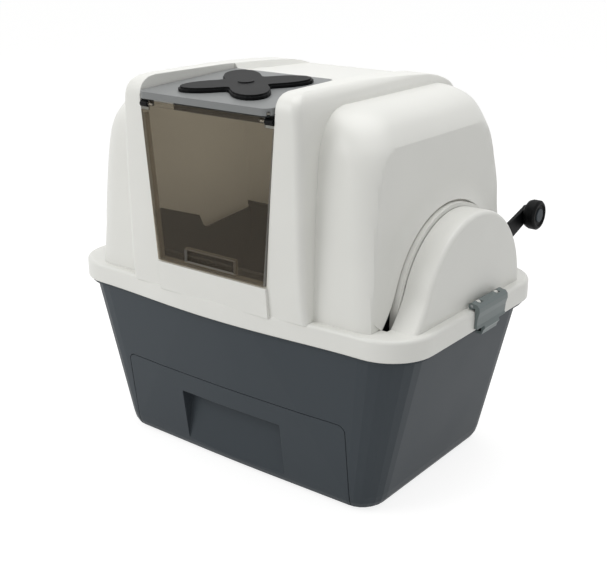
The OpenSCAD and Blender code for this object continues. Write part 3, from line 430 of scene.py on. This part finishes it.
# The hood with its frame, rim, dome and openings, built like the CAD but finer.
def hoodShell():
    wall, rimTop, curve, chamfer = hood["wall"], hood["rimTop"], hood["rimRound"], hood["rimChamfer"]
    rim = [hood["rimX"], hood["rimFront"], hood["rimBack"], hood["rimR"]]
    edge = [(hood["rimZ"], chamfer), (hood["rimZ"] + chamfer, 0.0), (rimTop - curve, 0.0)]
    edge += [(rimTop - curve + curve * math.sin(a), curve - curve * math.cos(a))
             for a in quarterTurns(hood["rimSteps"])]
    rimRings = [[z] + [v - inset for v in rim] + [hood["bow"]] for z, inset in edge]
    body = loft("hoodSkin", bodyRings(), 0.0, hood["side"])
    combine(body, loft("frameSolid", frameRings()), "UNION")
    x = hood["doorFootX"] + hood["sillPast"]
    sillEnds = ((rimTop, hood["sillFoot"]), (hood["doorZ"], hood["sillHead"]))
    sill = stack("sill", [np.array([(sx * x, y, z + up) for sx, y in ((-1, y0), (1, y0), (1, y1), (-1, y1))])
                          for z, (up, y0, y1) in sillEnds])
    for part in (sill, fairing(), loft("rimSolid", rimRings)):
        combine(body, part, "UNION")
    for part in saddle("seat", 0.0):
        combine(body, part, "DIFFERENCE")
    slotR = dome["radius"] + dome["slot"]
    combine(body, across("slotCut", bell(slotR, dome["slotFoot"]),
                         [(dome["innerX"], 0), (dome["wallX"], 0)]), "DIFFERENCE")
    e = dome["edge"]
    spans = [(dome["wallX"], 0), (dome["face"] - e, 0)]
    spans += [(dome["face"] - e + e * math.sin(a), e - e * math.cos(a))
              for a in quarterTurns(dome["edgeSteps"])]
    combine(body, across("domeSolid", bell(dome["radius"], dome["solidFoot"]), spans), "UNION")
    # The inside follows the outside one wall further in
    hollow = loft("hollow", bodyRings(), -wall, hood["side"])
    deep = loft("frameHollow", frameRings() - np.array([wall, wall, wall, wall, 0, 0]))
    combine(hollow, deep, "UNION")
    for part in saddle("seatFloor", wall):
        combine(hollow, part, "DIFFERENCE")
    combine(body, hollow, "DIFFERENCE")
    inner = [v - wall for v in rim] + [hood["bow"]]
    rimHollow = loft("rimHollow", [[hood["rimZ"] - hood["cutPast"]] + inner, [rimTop - wall] + inner])
    combine(body, rimHollow, "DIFFERENCE")
    combine(body, across("domeHollow", bell(dome["radius"] - wall, dome["hollowFoot"]),
                         [(dome["innerX"], 0), (dome["face"] - wall, 0)]), "DIFFERENCE")
    through = [(dome["innerX"] - dome["throughPast"], 0), (dome["wallX"] - dome["throughShort"], 0)]
    combine(body, across("slotThrough", bell(slotR, dome["throughFoot"]), through), "DIFFERENCE")
    # The doorway, and the hole for the filter tray under the panel
    g = hood["gap"]
    footX, topX, top = hood["doorFootX"] + g, hood["doorTopX"] + g, hood["pivotZ"] + hood["doorwayAbove"]
    doorway = [(-footX, hood["doorZ"] - g), (footX, hood["doorZ"] - g), (topX, top), (-topX, top)]
    combine(body, stack("doorway", [np.array([(x, y, z) for x, z in doorway]) for y in hood["doorwayY"]]),
            "DIFFERENCE")
    x, (y0, y1) = hood["trayX"], hood["trayY"]
    tray = [(-x, y0), (x, y0), (x, y1), (-x, y1)]
    combine(body, stack("trayHole", [onPanel([(x, y, z) for x, y in tray]) for z in hood["trayZ"]]),
            "DIFFERENCE")
    addLugs(body)
    return body


# Edges stay sharp where faces meet at more degrees than this
crease = {"hood": 18.0, "others": 30.0}
shell = hoodShell()
smooth(shell, crease["hood"])
shell.data.materials.clear()
shell.data.materials.append(materials["white_plastic"])
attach(shell, "base")
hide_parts("hood_shell")
print("stage: hood made", len(shell.data.polygons), "faces")

slots = {row["node"]: row["material_slot"] for row in frame["record"]["subparts"]}
for name, obj in nodes.items():
    smooth(obj, crease["others"])
    obj.data.materials.clear()
    obj.data.materials.append(materials[slots[name]])
print("stage: finishes set")

# Powers in watts, places and sizes in metres
light = {"sky": 0.46, "keyPower": 24.0, "keyPlace": (-1.3, -2.1, 1.9), "keySize": 1.5,
         "fillPower": 1.5, "fillPlace": (2.2, -0.7, 1.3), "fillSize": 1.6,
         "topPower": 23.0, "topPlace": (0.1, 0.2, 2.4), "topSize": 1.8, "aim": (0.0, 0.0, 0.3),
         "floor": "#f4f4f3", "floorSize": 40.0, "floorGlow": 0.6, "floorWhite": 1.38,
         "cabinPower": 0.6, "cabinPlace": (0.0, 0.02, 0.47), "cabinSize": 0.16}


# 1 for rays from the camera and for what gloss and clear plastic show of the background, otherwise 0.
def seenRays(tree):
    ray = addNode(tree, "ShaderNodeLightPath")
    total = ray.outputs["Is Camera Ray"]
    for name in ("Is Glossy Ray", "Is Transmission Ray"):
        both = tree.nodes.new("ShaderNodeMath")
        both.operation = "MAXIMUM"
        tree.links.new(total, both.inputs[0])
        tree.links.new(ray.outputs[name], both.inputs[1])
        total = both.outputs[0]
    return total


# White studio sweep: the floor keeps a part of the object's shadow, and glows white for the camera.
def whiteFloor():
    material = bpy.data.materials.new("studioFloor")
    material.use_nodes = True
    tree = material.node_tree
    tree.nodes.clear()
    matt = addNode(tree, "ShaderNodeBsdfDiffuse", Color=linear(light["floor"]))
    glow = addNode(tree, "ShaderNodeEmission", Strength=light["floorWhite"])
    part = tree.nodes.new("ShaderNodeMath")
    part.operation = "MULTIPLY"
    part.inputs[1].default_value = light["floorGlow"]
    tree.links.new(seenRays(tree), part.inputs[0])
    both = addNode(tree, "ShaderNodeMixShader", [("Fac", part.outputs[0])])
    tree.links.new(matt.outputs["BSDF"], both.inputs[1])
    tree.links.new(glow.outputs["Emission"], both.inputs[2])
    addNode(tree, "ShaderNodeOutputMaterial", [("Surface", both.outputs["Shader"])])
    return material


half = light["floorSize"] / 2 / mm
floor = meshObject("floor", [(-half, -half, 0), (half, -half, 0), (half, half, 0), (-half, half, 0)],
                   [[0, 1, 2, 3]])
floor.data.materials.append(whiteFloor())


# A square soft light that looks at the aim, near the middle of the object.
def areaLight(name, power, place, size):
    lamp = bpy.data.lights.new(name, "AREA")
    lamp.energy = power
    lamp.size = size
    obj = bpy.data.objects.new(name, lamp)
    obj.location = place
    obj.rotation_euler = (Vector(light["aim"]) - Vector(place)).to_track_quat("-Z", "Y").to_euler()
    bpy.context.scene.collection.objects.link(obj)


for kind in ("key", "fill", "top"):
    areaLight(kind + "Light", light[kind + "Power"], light[kind + "Place"], light[kind + "Size"])
# A faint lamp inside the hood, never seen itself, for the light that the thin white walls let through
glowLamp = bpy.data.lights.new("cabinLight", "POINT")
glowLamp.energy = light["cabinPower"]
glowLamp.shadow_soft_size = light["cabinSize"]
cabinLight = bpy.data.objects.new("cabinLight", glowLamp)
cabinLight.location = light["cabinPlace"]
cabinLight.visible_camera = False
cabinLight.visible_glossy = False
cabinLight.visible_transmission = False
bpy.context.scene.collection.objects.link(cabinLight)
world = bpy.data.worlds.new("studio")
world.use_nodes = True
sky = world.node_tree.nodes["Background"]
sky.inputs["Color"].default_value = (1.0, 1.0, 1.0, 1.0)
strength = addNode(world.node_tree, "ShaderNodeMapRange", [("Value", seenRays(world.node_tree))],
                   To_Min=light["sky"], To_Max=1.0)
world.node_tree.links.new(strength.outputs["Result"], sky.inputs["Strength"])
bpy.context.scene.world = world

camera = {"place": (1.00298, -1.29879, 0.84473), "tilt": 70.28, "turn": 37.71, "lens": 62.90,
          "sensor": 36.0}
cameraData = bpy.data.cameras.new("photoCamera")
cameraData.lens = camera["lens"]
cameraData.sensor_width = camera["sensor"]
cameraData.sensor_fit = "HORIZONTAL"
cameraObject = bpy.data.objects.new("photoCamera", cameraData)
cameraObject.location = camera["place"]
cameraObject.rotation_euler = (math.radians(camera["tilt"]), 0.0, math.radians(camera["turn"]))
bpy.context.scene.collection.objects.link(cameraObject)
bpy.context.scene.camera = cameraObject
bpy.context.scene.view_settings.view_transform = "Standard"
print("stage: light and camera set")
